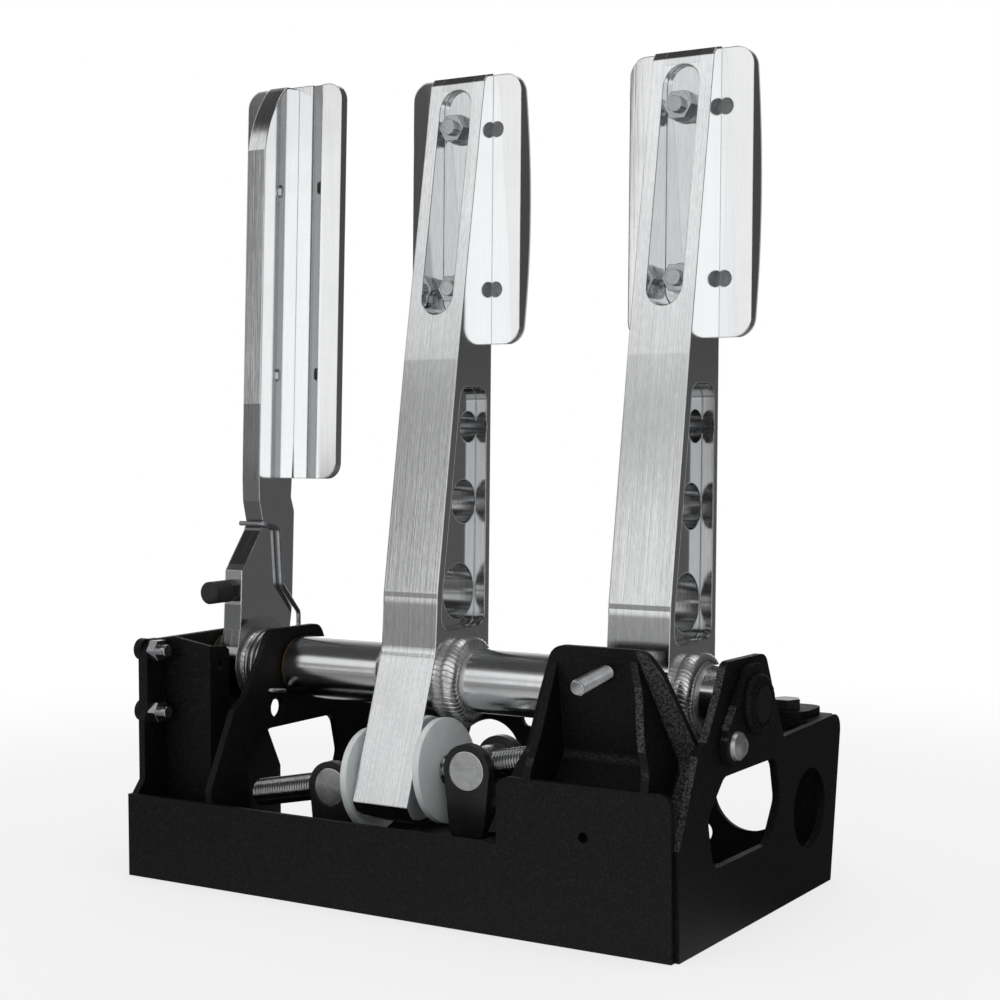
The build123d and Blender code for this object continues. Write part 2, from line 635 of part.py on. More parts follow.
with BuildPart() as balance_ball:
    with BuildSketch(Plane(origin=(brake_x, ball_y, ball_z), x_dir=bar_plane.z_dir, z_dir=(0, -1, 0))):
        Circle(BALL_DIA / 2)
        Rectangle(BALL_LONG, BALL_DIA, mode=Mode.INTERSECT)
        Rectangle(BALL_DIA, BAR_DIA + 2 * run_clear, mode=Mode.SUBTRACT)
        with Locations((0, -BALL_DIA / 2)):
            Rectangle(BALL_DIA, BALL_DIA, mode=Mode.SUBTRACT)
    revolve(axis=Axis((brake_x, ball_y, ball_z), bar_plane.z_dir), revolution_arc=360)
export(balance_ball, "balance_ball")

with BuildPart() as balance_bar:
    with BuildSketch(bar_plane.offset(-BAR_HALF)):
        Circle(BAR_DIA / 2)
    extrude(amount=2 * BAR_HALF)
    chamfer(balance_bar.edges().filter_by(GeomType.CIRCLE), length=1.0)
export(balance_bar, "balance_bar")

DISC_R = 20.2
DISC_THICK = 2.8
DISC_FIT = 0.3
with BuildPart() as balance_discs:
    for x_face in (brake_x - 17.4, brake_x + 16.4):
        mid = x_face + DISC_THICK / 2 - brake_x
        disc_plane = Plane(origin=(x_face, ball_y, ball_z + mid * math.tan(math.radians(BAR_TILT))),
                           x_dir=(0, 1, 0),
                           z_dir=(math.cos(math.radians(DISC_TILT)), 0, math.sin(math.radians(DISC_TILT))))
        with BuildSketch(disc_plane):
            Circle(DISC_R)
            Circle(BAR_DIA / 2 + DISC_FIT, mode=Mode.SUBTRACT)
        extrude(amount=DISC_THICK)
export(balance_discs, "balance_discs")

TRUNNION_DIA = 15.0
CLEVIS_OUT = 27.0
EAR = 4.0
EAR_R = 10.1
CLEVIS_DROP = 25.0
ROD_HOLE = 3.4
FORK_SIDE = ((10.0, 0.0), (8.4, 16.0), (7.8, 21.0), (6.4, CLEVIS_DROP))   # half width at depths


def trunnion(x_at):
    """Cross pin that the bar is screwed through."""
    z_at = ball_z + (x_at - brake_x) * math.tan(math.radians(BAR_TILT))
    with BuildPart() as pin:
        with BuildSketch(Plane.XZ.offset(-(ball_y - CLEVIS_OUT / 2))):
            with Locations((x_at, z_at)):
                Circle(TRUNNION_DIA / 2)
        extrude(amount=-CLEVIS_OUT)
        with BuildSketch(bar_plane.offset(-80)):
            Circle(BAR_DIA / 2)
        extrude(amount=160, mode=Mode.SUBTRACT)
    return pin


def clevis(x_at):
    """Fork hanging on the trunnion: two rounded ears and a tapering body with the rod thread."""
    z_at = ball_z + (x_at - brake_x) * math.tan(math.radians(BAR_TILT))
    with BuildPart() as fork:
        with BuildSketch(Plane.XZ.offset(-(ball_y - CLEVIS_OUT / 2))):
            with Locations((x_at, z_at)):
                Circle(EAR_R)
            with BuildLine():
                Polyline([(x_at - half, z_at - deep) for half, deep in FORK_SIDE] +
                         [(x_at + half, z_at - deep) for half, deep in reversed(FORK_SIDE)], close=True)
            make_face()
            with Locations((x_at, z_at)):
                Circle(TRUNNION_DIA / 2 + run_clear, mode=Mode.SUBTRACT)
        extrude(amount=-CLEVIS_OUT)
        gap = CLEVIS_OUT / 2 - EAR
        with BuildSketch(Plane.YZ.offset(x_at - 15)):
            with BuildLine():
                Polyline([(ball_y - gap, z_at + 12), (ball_y - gap, z_at - 14), (ball_y - gap + 4, z_at - 17),
                          (ball_y + gap - 4, z_at - 17), (ball_y + gap, z_at - 14), (ball_y + gap, z_at + 12)],
                         close=True)
            make_face()
        extrude(amount=30, mode=Mode.SUBTRACT)
        with BuildSketch(Plane.XY.offset(z_at - CLEVIS_DROP)):
            with Locations((x_at, ball_y)):
                Circle(ROD_HOLE)
        extrude(amount=10, mode=Mode.SUBTRACT)
    return fork


export(trunnion(CYL_X[0]), "left_trunnion")
export(trunnion(CYL_X[1]), "right_trunnion")
export(clevis(CYL_X[0]), "left_clevis")
export(clevis(CYL_X[1]), "right_clevis")

# Clutch rod end: pin in the arm's lower end with a fork round it
CLUTCH_EAR = 3.5
CLUTCH_PLAY = 0.35
CLUTCH_IN = arm_wide / 2 + CLUTCH_PLAY
CLUTCH_OUT = CLUTCH_IN + CLUTCH_EAR
CLUTCH_DROP = 27.0
with BuildPart() as clutch_pin:
    with BuildSketch(Plane.YZ.offset(clutch_x - CLUTCH_OUT - 2.0)):
        with Locations((ball_y, ball_z)):
            Circle(CLUTCH_PIN / 2)
    extrude(amount=2 * CLUTCH_OUT + 4.0)
    chamfer(clutch_pin.edges().filter_by(GeomType.CIRCLE), length=0.6)
export(clutch_pin, "clutch_pin")
with BuildPart() as clutch_clevis:
    with BuildSketch(Plane.YZ.offset(clutch_x - CLUTCH_OUT)):
        with Locations((ball_y, ball_z)):
            Circle(EAR_R - 2.5)
        with Locations((ball_y, ball_z - CLUTCH_DROP / 2)):
            Rectangle(2 * (EAR_R - 2.5), CLUTCH_DROP)
        with Locations((ball_y, ball_z)):
            Circle(CLUTCH_PIN / 2 + run_clear, mode=Mode.SUBTRACT)
    extrude(amount=2 * CLUTCH_OUT)
    with BuildSketch(Plane.YZ.offset(clutch_x - CLUTCH_IN)):
        with Locations((ball_y, ball_z + 2.0)):
            Rectangle(40.0, 2 * (NOSE_R + 3.0))
    extrude(amount=2 * CLUTCH_IN, mode=Mode.SUBTRACT)
    with BuildSketch(Plane.XY.offset(ball_z - CLUTCH_DROP)):
        with Locations((clutch_x, ball_y)):
            Circle(ROD_HOLE)
    extrude(amount=CLUTCH_DROP - NOSE_R - 1.0, mode=Mode.SUBTRACT)
    chamfer(clutch_clevis.edges().filter_by(Axis.Y).group_by(Axis.Z)[0], length=4.0)
export(clutch_clevis, "clutch_clevis")

# Throttle
THROTTLE_LEFT = left_x + 13.0
THROTTLE_THICK = 9.0
arm_mid = THROTTLE_LEFT + 0.5 * THROTTLE_THICK
throttle_mid = left_x + 19.25
with BuildPart() as throttle_arm:
    with BuildSketch(Plane.YZ.offset(THROTTLE_LEFT)):
        with BuildLine():
            front_top = side([(78.0, 323.5), (68.5, 309.6), (64.6, 297.0)])
            Spline(front_top)
            Polyline(side([(64.6, 297.0), (58.4, 158.0), (58.6, 149.0), (60.8, 140.0), (59.0, 136.5),
                           (46.7, 120.5), (45.3, 96.0), (43.0, 84.0), (52.0, 66.0), (70.0, 68.0), (76.0, 80.9),
                           (80.0, 104.0), (81.9, 144.0), (79.9, 150.0), (82.0, 174.0), (88.5, 325.0),
                           (80.0, 325.0), (78.0, 323.5)]))
        make_face()
        with Locations((pivot_y, pivot_z)):
            Circle(17.0)
            Circle(tube_dia / 2 - 0.2, mode=Mode.SUBTRACT)
    extrude(amount=THROTTLE_THICK)
export(throttle_arm, "throttle_arm")

HUB_DIA = 25.0
hub_left = left_plate_x + sheet + end_play + bush_flange
hub_right = mid_plate_x - end_play - bush_flange
with BuildPart() as throttle_hub:
    with BuildSketch(Plane.YZ.offset(hub_left)):
        with Locations((pivot_y, pivot_z)):
            Circle(HUB_DIA / 2)
            Circle(bush_dia / 2, mode=Mode.SUBTRACT)
    extrude(amount=hub_right - hub_left)
export(throttle_hub, "throttle_hub")
throttle_bushes = bush_pair(hub_left, hub_right, THROTTLE_BUSH_LONG)
export(throttle_bushes, "throttle_bushes")

THROTTLE_PAD_WIDE = 50.8
THROTTLE_LEAN = math.atan2(88.5 - 82.0, 325.0 - 174.0)
THROTTLE_PAD_Z = (158.0, 326.4)
throttle_pad_z = 0.5 * (THROTTLE_PAD_Z[0] + THROTTLE_PAD_Z[1])
throttle_pad_y = front_y + 82.0 + (throttle_pad_z - 174.0) * math.tan(THROTTLE_LEAN)


def throttle_plane(lift=0.0):
    """Plane on the throttle pad's back: local x to the right, local y up the pad."""
    return Plane(origin=(throttle_mid, throttle_pad_y, throttle_pad_z), x_dir=(1, 0, 0),
                 z_dir=(0, -math.cos(THROTTLE_LEAN), math.sin(THROTTLE_LEAN))).offset(-lift)


PAD_SHEET = 4.0
GROOVE_X = 12.5
GROOVE = (5.0, 1.2)
with BuildPart() as throttle_pad:
    with BuildSketch(throttle_plane()):
        RectangleRounded(THROTTLE_PAD_WIDE, THROTTLE_PAD_Z[1] - THROTTLE_PAD_Z[0], 7.0)
        with Locations((0.0, 62.0), (0.0, -62.0)):
            Circle(2.5, mode=Mode.SUBTRACT)
        with Locations((13.5, 282.5 - throttle_pad_z), (13.5, 202.7 - throttle_pad_z)):
            SlotOverall(5.0, 2.6, rotation=90, mode=Mode.SUBTRACT)
    extrude(amount=-PAD_SHEET)
    with BuildSketch(throttle_plane()):
        with Locations((GROOVE_X, 0.0), (-GROOVE_X, 0.0)):
            Rectangle(GROOVE[0], THROTTLE_PAD_Z[1] - THROTTLE_PAD_Z[0] + 10)
    extrude(amount=-GROOVE[1], mode=Mode.SUBTRACT)
export(throttle_pad, "throttle_pad")

with BuildPart() as throttle_pad_screws:
    with BuildSketch(throttle_plane(PAD_SHEET)):
        with Locations((0.0, 62.0), (0.0, -62.0)):
            Circle(4.5)
    extrude(amount=-2.2)
    with BuildSketch(throttle_plane(PAD_SHEET)):
        with Locations((0.0, 62.0), (0.0, -62.0)):
            Circle(2.5)
    extrude(amount=PAD_SHEET)
export(throttle_pad_screws, "throttle_pad_screws")

# Stop knob on the arm's front edge
KNOB_Z = 112.3
KNOB_TIP = 30.1
KNOB_R = 4.6
KNOB_LONG = 11.0
KNOB_NUT_FLATS = 8.0
with BuildPart() as throttle_knob:
    with BuildSketch(Plane.XZ.offset(-(front_y + KNOB_TIP))):
        with Locations((arm_mid, KNOB_Z)):
            Circle(KNOB_R)
    extrude(amount=-KNOB_LONG)
    chamfer(throttle_knob.edges().filter_by(GeomType.CIRCLE).group_by(Axis.Y)[0], length=1.0)
export(throttle_knob, "throttle_knob")
with BuildPart() as throttle_knob_nut:
    with BuildSketch(Plane.XZ.offset(-(front_y + KNOB_TIP + KNOB_LONG))):
        with Locations((arm_mid, KNOB_Z)):
            RegularPolygon(KNOB_NUT_FLATS / 2, 6, major_radius=False, rotation=30)
    extrude(amount=-6.0)
    with BuildSketch(Plane.YZ.offset(THROTTLE_LEFT)):
        with BuildLine():
            Polyline(side([(46.7, 120.5), (45.3, 96.0), (60.0, 96.0), (60.0, 120.5)]), close=True)
        make_face()
    extrude(amount=THROTTLE_THICK, mode=Mode.SUBTRACT)
export(throttle_knob_nut, "throttle_knob_nut")

# Return spring: coils round the hub, one leg hooked over the arm, the other through the middle plate
WIRE = 2.0
COIL_R = HUB_DIA / 2 + 0.5 + WIRE / 2
COIL_LEFT = left_x + 23.6
COIL_RIGHT = left_x + 35.0
COIL_WHOLE_TURNS = 4
HOOK_Z = 139.5
HOOK_OUT = 1.3
# the lower leg leaves the coil where the line to the anchor hole touches it
hole_y = front_y + SPRING_HOLE[0] - pivot_y
hole_z = SPRING_HOLE[1] - pivot_z
leave = math.atan2(hole_z, hole_y) + math.acos(COIL_R / math.hypot(hole_y, hole_z))
coil_turns = COIL_WHOLE_TURNS - leave / (2 * math.pi)
coil_pitch = (COIL_RIGHT - COIL_LEFT) / coil_turns
UP_LEG = [(COIL_LEFT, pivot_y + COIL_R, pivot_z), (COIL_LEFT, pivot_y + COIL_R, pivot_z + 5.1),
          (COIL_LEFT, front_y + 82.2, 94.5), (COIL_LEFT, front_y + 82.2, 100.5),
          (COIL_LEFT, front_y + 70.5, 113.5), (COIL_LEFT, front_y + 68.8, 137.5),
          (COIL_LEFT, front_y + 59.2, HOOK_Z), (THROTTLE_LEFT - 2.0, front_y + 59.2, HOOK_Z)]
LOW_LEG = [(COIL_RIGHT, pivot_y + COIL_R * math.cos(leave), pivot_z + COIL_R * math.sin(leave)),
           (COIL_RIGHT, front_y + SPRING_HOLE[0], SPRING_HOLE[1]),
           (mid_plate_x + sheet + HOOK_OUT, front_y + SPRING_HOLE[0], SPRING_HOLE[1]),
           (mid_plate_x + sheet + HOOK_OUT, front_y + 47.5, 71.9)]
turns = Helix(pitch=coil_pitch, height=COIL_RIGHT - COIL_LEFT, radius=COIL_R,
              center=(COIL_LEFT, pivot_y, pivot_z), direction=(1, 0, 0), lefthand=True)
# the helix starts above the axis; a quarter turn brings its start behind it, under the upper leg
turns = turns.rotate(Axis((0, pivot_y, pivot_z), (1, 0, 0)), -90)
with BuildPart() as throttle_spring:
    with BuildSketch(Plane(origin=turns @ 0, z_dir=turns % 0)):
        Circle(WIRE / 2)
    sweep(path=turns, is_frenet=True)
    for leg in (UP_LEG, LOW_LEG):
        with BuildLine() as leg_line:
            FilletPolyline(*leg, radius=2.5)
        leg_wire = leg_line.wires()[0]
        with BuildSketch(Plane(origin=leg_wire @ 0, z_dir=leg_wire % 0)):
            Circle(WIRE / 2)
        sweep(path=leg_wire)
export(throttle_spring, "throttle_spring")
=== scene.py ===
"""Pedal box with throttle, brake and clutch: surfaces, finishes, light and camera.

Everything is in metres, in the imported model's own frame: X from throttle to clutch,
Y from the front panel to the rear wall, Z up.
"""
import json
import math
import bpy
import numpy as np
from mathutils import Matrix, Vector


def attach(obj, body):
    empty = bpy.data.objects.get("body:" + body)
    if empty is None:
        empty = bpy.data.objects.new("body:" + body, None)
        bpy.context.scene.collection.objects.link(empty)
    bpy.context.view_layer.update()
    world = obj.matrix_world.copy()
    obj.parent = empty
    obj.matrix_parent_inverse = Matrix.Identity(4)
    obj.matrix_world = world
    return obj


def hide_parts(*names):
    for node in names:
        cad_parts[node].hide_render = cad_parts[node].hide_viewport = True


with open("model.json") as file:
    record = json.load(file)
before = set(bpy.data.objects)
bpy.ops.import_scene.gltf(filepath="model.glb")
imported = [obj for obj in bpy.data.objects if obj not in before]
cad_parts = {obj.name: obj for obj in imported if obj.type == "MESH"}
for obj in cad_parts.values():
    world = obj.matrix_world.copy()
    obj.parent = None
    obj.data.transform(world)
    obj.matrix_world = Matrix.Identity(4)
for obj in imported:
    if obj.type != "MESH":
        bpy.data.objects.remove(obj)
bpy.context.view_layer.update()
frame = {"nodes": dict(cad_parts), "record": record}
nodes = frame["nodes"]

# The box: its left end, the front panel's front face, and the right side plate's inner face
LEFT, FRONT = -0.123075, -0.07317
RIGHT_PLATE = LEFT + 0.243

# The pedals: their common axis, the middles of the two milled arms and of the throttle pad
PIVOT_Y, PIVOT_Z = FRONT + 0.059, 0.0809
BRAKE_X, CLUTCH_X = LEFT + 0.1106, LEFT + 0.2108
THROTTLE_PAD_X = LEFT + 0.01925
THROTTLE_GROOVES = (LEFT + 0.00675, LEFT + 0.03175)
ARM_HALF, TUBE_R = 0.0127, 0.0127

# Bends along the front edge of the milled arms: height, change of lean in degrees, half length
ARM_BENDS = ((0.1140, 5.5, 0.0028), (0.0925, -15.7, 0.0024))
# Lowest front face of the arms: y behind the front panel and z at its top, its lean, and the heights
# between which it is trued
STRAP_TOP = (0.0393, 0.0915)
STRAP_SLOPE = 19.7 / 55.0
TRUED_FROM, TRUED_TO = 0.0364, 0.0600
# Rounded lower end of the arms: its middle, and the radius within which nothing moves. Lower lip: how
# far ahead of the middle it is whole, how far it is drawn forward and down, and its upper limit
NOSE_Y, NOSE_Z, NOSE_R = 0.0385, 0.0449, 0.0150
LIP_REACH, LIP_FORWARD, LIP_DOWN, LIP_TOP = 0.0129, 0.0034, 0.0036, 0.0362
# Bolt slot: just inside its half width, just under its lower end, and the y behind which only its
# floor lies
SLOT_HALF, SLOT_FOOT, SLOT_FLOOR = 0.0073, 0.223, FRONT + 0.0768
# The arms' long front face: a point of it and its lean. Side pockets: how far behind that face their
# rear walls lie at least, and just above their upper end
ARM_FRONT_Y, ARM_FRONT_Z, ARM_FRONT_SLOPE = FRONT + 0.0415, 0.1160, 0.1665
POCKET_DEPTH, POCKET_TOP = 0.006, 0.200

# Balance bar: its ball in the middle of the nose, tilt, size, thread, and the x of its two trunnions
BALL = np.array([BRAKE_X, FRONT + NOSE_Y, NOSE_Z])
BAR_TILT = math.radians(11.0)
BAR_R, BAR_LENGTH, BAR_PITCH = 0.00555, 0.1498, 0.00127
LEFT_TRUNNION, RIGHT_TRUNNION = LEFT + 0.0832, LEFT + 0.1466

# Clutch stop tower: lean of its web, and height of the web's lower fold. Slanted rib: its upper end, its
# slope, just over half its thickness, and the x just past its right side at its foot
TOWER_LEAN = math.atan2(5.4, 40.5)
TOWER_FOLD = 0.0630
RIB_X, RIB_Z, RIB_SLOPE, RIB_HALF = RIGHT_PLATE - 0.0229, 0.099, 0.379, 0.0016
RIB_FOOT = RIGHT_PLATE - 0.0068
# Stop stud, and the front right corner of the box, where faces that look up and forward get a painted
# highlight: its left and rear limits
STUD_R, STUD_LENGTH, STUD_PITCH = 0.0030, 0.0344, 0.0010
CORNER_X, CORNER_Y = RIGHT_PLATE - 0.036, FRONT + 0.042

WHITE, BLACK = (1.0, 1.0, 1.0), (0.0, 0.0, 0.0)


# ------------------------------------------------------------------ finishes
class Wire:
    """One output socket; arithmetic on it adds Math nodes to its recipe."""

    def __init__(self, recipe, socket):
        self.recipe, self.socket = recipe, socket

    def _calc(self, operation, a, b=None):
        return self.recipe.add("ShaderNodeMath", {"operation": operation}, {0: a, 1: b})

    def __add__(self, other): return self._calc("ADD", self, other)
    def __radd__(self, other): return self._calc("ADD", other, self)
    def __sub__(self, other): return self._calc("SUBTRACT", self, other)
    def __rsub__(self, other): return self._calc("SUBTRACT", other, self)
    def __mul__(self, other): return self._calc("MULTIPLY", self, other)
    def __rmul__(self, other): return self._calc("MULTIPLY", other, self)
    def __truediv__(self, other): return self._calc("DIVIDE", self, other)
    def __rtruediv__(self, other): return self._calc("DIVIDE", other, self)
    def __pow__(self, other): return self._calc("POWER", self, other)
    def __abs__(self): return self._calc("ABSOLUTE", self)
    def above(self, level): return self._calc("GREATER_THAN", self, level)
    def most(self, other): return self._calc("MAXIMUM", self, other)
    def least(self, other): return self._calc("MINIMUM", self, other)
    def wave(self): return self._calc("SINE", self)

    def ramp(self, low, high):
        """0 at low, 1 at high, smooth between."""
        return self.recipe.add("ShaderNodeMapRange", {"interpolation_type": "SMOOTHSTEP"},
                               {"Value": self, "From Min": low, "From Max": high})


class Recipe:
    """A finish under construction: a material, or the world, with its nodes and its shader."""

    def __init__(self, name, world=False):
        self.material = bpy.data.worlds.new(name) if world else bpy.data.materials.new(name)
        self.material.use_nodes = True
        self.tree = self.material.node_tree
        self.shader = self.tree.nodes["Background" if world else "Principled BSDF"]
        self.place = self.add("ShaderNodeTexCoord", {}, {}, "Generated" if world else "Object")
        self.facing = self.add("ShaderNodeTexCoord", {}, {}, "Normal")

    def feed(self, socket, value):
        """Links a wire to a socket, or sets its value; a plain colour gets its alpha of 1."""
        if isinstance(value, Wire):
            self.tree.links.new(value.socket, socket)
        elif value is not None:
            socket.default_value = tuple(value) + (1.0,) if socket.type == "RGBA" else value

    def add(self, kind, settings, inputs, output=0):
        """A node of a kind, its settings made first, then its socket values or links."""
        node = self.tree.nodes.new(kind)
        for key, value in settings.items():
            setattr(node, key, value)
        for key, value in inputs.items():
            self.feed(node.inputs[key], value)
        return Wire(self, node.outputs[output])

    def axes(self, wire):
        """The three numbers of a vector."""
        first = self.add("ShaderNodeSeparateXYZ", {}, {0: wire})
        return [Wire(self, socket) for socket in first.socket.node.outputs]

    def stretched(self, scale):
        """Object coordinates scaled along each axis, so that a pattern stretches."""
        return self.add("ShaderNodeMapping", {}, {"Vector": self.place, "Scale": scale})

    def noise(self, scale, detail=2.0, rough=0.5, where=None):
        """Cloudy pattern around 0.5, on the piece's own coordinates unless where says otherwise."""
        return self.add("ShaderNodeTexNoise", {}, {"Vector": where or self.place, "Scale": scale,
                                                   "Detail": detail, "Roughness": rough}, "Fac")

    def cells(self, scale):
        """Distance to the nearest of many scattered points."""
        return self.add("ShaderNodeTexVoronoi", {}, {"Vector": self.place, "Scale": scale}, "Distance")

    def tint(self, factor, dark, light):
        """Colour between dark and light by factor."""
        return self.add("ShaderNodeMix", {"data_type": "RGBA"}, {0: factor, 6: dark, 7: light}, 2)

    def relief(self, height, distance, strength=1.0, under=None):
        """Bump of a height wire, in metres, on top of another normal."""
        return self.add("ShaderNodeBump", {}, {"Height": height, "Distance": distance,
                                               "Strength": strength, "Normal": under}, "Normal")

    def soft_edges(self, radius):
        """Normal that rounds each edge as if it had this radius."""
        return self.add("ShaderNodeBevel", {"samples": 8}, {"Radius": radius}, "Normal")

    def finish(self, colour, rough, metal, normal=None, plain=None):
        """Feeds the shader; plain holds values that are the same all over."""
        values = {"Base Color": colour, "Roughness": rough, "Metallic": metal, "Normal": normal}
        for key, value in {**values, **(plain or {})}.items():
            self.feed(self.shader.inputs[key], value)
        return self.material


def darker(tone, share):
    """A colour at a share of its brightness."""
    return tuple(c * share for c in tone)


def powder_coat(name, web_highlights=False):
    """Black powder coat: fine orange-peel grain, tiny light specks and a broad unevenness. Near the box's
    front right corner, faces that look up and forward get a painted highlight, a mottled grey; the flag
    for the stop tower paints the same highlight on its web beside the slanted rib and along its lower fold."""
    r = Recipe(name)
    ny, nz = r.axes(r.facing)[1:]
    px, py, pz = r.axes(r.place)
    to_front = 0.0 - ny
    grain = r.noise(1250.0, 3.0, 0.6)
    broad = r.noise(28.0)
    specks = 1.0 - r.cells(950.0).ramp(0.06, 0.26)
    peel = (grain.ramp(0.46, 0.68) * 0.45 + specks * 0.55 + broad * 0.1).least(1.0)
    colour = r.tint(peel, (0.0004, 0.0004, 0.0004), (0.021, 0.021, 0.0215))
    lumps = r.noise(1150.0, 4.0, 0.75)
    # Painted highlight: faces near the front right corner that look up and forward are greyed
    painted_highlight = nz.ramp(0.30, 0.40) * (1.0 - nz.ramp(0.70, 0.85)) * to_front.ramp(0.3, 0.5) * 0.8
    painted_highlight = painted_highlight * px.above(CORNER_X) * (1.0 - py.above(CORNER_Y))
    # Painted highlight on the tower's web, beside the slanted rib and along its lower fold
    if web_highlights:
        on_web = to_front.ramp(0.5, 0.7)
        rib_side = (RIB_X + RIB_HALF + (RIB_Z - pz) * RIB_SLOPE).least(RIB_FOOT)
        beyond_rib = (px - rib_side).ramp(0.0, 0.0008) * on_web
        fold = (1.0 - abs(pz - TOWER_FOLD).ramp(0.0003, 0.0022)) * on_web * 0.35
        painted_highlight = (painted_highlight * (1.0 - nz.ramp(0.54, 0.57))).most(beyond_rib * 0.8).most(fold)
    colour = r.tint(painted_highlight * lumps.ramp(0.38, 0.64), colour, (0.115, 0.115, 0.117))
    rough = 0.42 + grain * 0.16 + broad * 0.10
    height = grain * 0.75 + specks * 0.25 + lumps * painted_highlight * 1.5
    normal = r.relief(height, 0.00036, 0.8, r.soft_edges(0.0006))
    return r.finish(colour, rough, 0.0, normal, {"Specular IOR Level": 0.22})


def milled_alloy(name, bends=()):
    """Milled bar: side faces polished like mirrors, front and back faces brushed along the arm,
    frosted round the weld, with painted shade darkening the bolt slot and the side pockets. A bend is
    rounded by h = k w (u - u^2 / 2), where u = |z - bend| / w, w its half length and k the change of lean."""
    r = Recipe(name)
    nx, ny = r.axes(r.facing)[:2]
    px, py, pz = r.axes(r.place)
    to_front = 0.0 - ny
    side = abs(nx).ramp(0.55, 0.9)
    streak = r.noise(1.0, 3.0, 0.6, r.stretched((3200.0, 12.0, 12.0)))
    fleck = r.noise(1.0, 2.0, 0.5, r.stretched((1400.0, 1400.0, 160.0)))
    cloud = r.noise(24.0, 3.0, 0.55)
    swirl = r.noise(1.0, 2.0, 0.5, r.stretched((90.0, 90.0, 30.0)))
    grain = r.noise(900.0, 3.0, 0.6)

    # Where each kind of surface lies: 1 there, 0 elsewhere
    from_pivot = ((py - PIVOT_Y) * (py - PIVOT_Y) + (pz - PIVOT_Z) * (pz - PIVOT_Z)) ** 0.5
    frost = (1.0 - from_pivot.ramp(0.0190, 0.0215)) * side
    off_middle = abs(px - BRAKE_X).least(abs(px - CLUTCH_X))
    high_up = pz.above(SLOT_FOOT)
    slot_floor = (1.0 - off_middle.above(SLOT_HALF)) * high_up * py.above(SLOT_FLOOR)
    slot = slot_floor.most((1.0 - off_middle.above(SLOT_HALF + 0.0005)) * high_up * side)
    behind_front = py - ARM_FRONT_Y - (pz - ARM_FRONT_Z) * ARM_FRONT_SLOPE
    pocket_shade = behind_front.above(POCKET_DEPTH) * (1.0 - pz.above(POCKET_TOP)) * to_front.above(0.5)

    brushed = 0.085 + streak * 0.05 + cloud * 0.03
    mirror = 0.045 + swirl * 0.05 + fleck * 0.03 + frost * (0.22 + grain * 0.12)
    rough = brushed * (1.0 - side) + mirror * side
    rough = rough * (1.0 - slot_floor) + slot_floor * (0.05 + fleck * 0.04)
    tone = (0.92, 0.93, 0.94)
    shade = (streak * 0.5 + fleck * 0.3 + cloud * 0.3) * (1.0 - side * 0.8)
    colour = r.tint(shade.ramp(0.30, 0.75), tone, darker(tone, 0.70))
    colour = r.tint(frost * 0.6, colour, (0.62, 0.60, 0.58))
    # Painted shade: the bolt slot and the side pockets are darkened in colour
    colour = r.tint(slot * 0.4, colour, (0.55, 0.56, 0.57))
    colour = r.tint(pocket_shade * 0.8, colour, (0.26, 0.265, 0.27))

    normal = r.soft_edges(0.0008)
    if bends:
        rounding = 0.0
        for bend, turn, half in bends:
            u = (abs(pz - bend) / half).least(1.0)
            rounding = rounding + (u - u * u * 0.5) * (math.radians(turn) * 0.5 * half)
        normal = r.relief(rounding * to_front.ramp(0.6, 0.8), 1.0, 1.0, normal)
    marks = streak * (1.0 - side * 0.93) * (1.0 - slot_floor * 0.9) + swirl * side * 0.05
    normal = r.relief(marks + frost * grain * 0.6, 0.00012, 0.38, normal)
    return r.finish(colour, rough, 1.0, normal)


def polished_plate(name, middle, crown=1.4, lean=0.0, grooves=()):
    """Polished plate: nearly mirror-like, drawn upward in faint streaks, crowned across its width by
    h = -crown a^2 - lean a with a = x - middle, as a real polished plate is by up to a millimetre;
    grooves are the x of milled grooves, rougher and darkened with painted shade."""
    r = Recipe(name)
    px = r.axes(r.place)[0]
    streak = r.noise(1.0, 3.0, 0.6, r.stretched((900.0, 900.0, 14.0)))
    cloud = r.noise(30.0, 3.0, 0.55)
    scuff = r.noise(1.0, 2.0, 0.5, r.stretched((60.0, 60.0, 900.0)))
    rough = 0.07 + streak * 0.06 + cloud.ramp(0.45, 0.8) * 0.06
    tone = (0.93, 0.935, 0.94)
    shade = (streak * 0.5 + scuff * 0.2 + cloud * 0.3).ramp(0.3, 0.8)
    colour = r.tint(shade, tone, darker(tone, 0.94))
    for groove in grooves:
        inside = 1.0 - abs(px - groove).ramp(0.0022, 0.0027)
        # Painted shade darkens each groove; it is also rougher there
        colour = r.tint(inside * 0.85, colour, (0.24, 0.245, 0.25))
        rough = rough + inside * 0.14
    across = px - middle
    bow = across * across * -crown - across * lean
    normal = r.relief(bow, 1.0, 1.0, r.soft_edges(0.0007))
    return r.finish(colour, rough, 1.0, r.relief(streak, 0.00005, 0.35, normal))


def turned_alloy(name):
    """Turned on a lathe: very fine rings across the length, dull smears, frosted by the welds."""
    r = Recipe(name)
    px = r.axes(r.place)[0]
    frost = 1.0 - abs(px - BRAKE_X).least(abs(px - CLUTCH_X)).ramp(0.0205, 0.0218)
    rings = r.noise(1.0, 3.0, 0.65, r.stretched((4200.0, 60.0, 60.0)))
    smear = r.noise(38.0, 3.0, 0.6)
    grain = r.noise(900.0, 3.0, 0.6)
    tone = (0.84, 0.85, 0.86)
    colour = r.tint((rings * 0.5 + smear * 0.5).ramp(0.3, 0.8), tone, darker(tone, 0.86))
    colour = r.tint(frost * 0.7, colour, (0.70, 0.69, 0.68))
    rough = 0.10 + rings * 0.09 + smear.ramp(0.45, 0.8) * 0.08 + frost * (0.20 + grain * 0.1)
    normal = r.relief(rings + frost * grain, 0.00006, 0.35, r.soft_edges(0.0003))
    return r.finish(colour, rough, 1.0, normal)


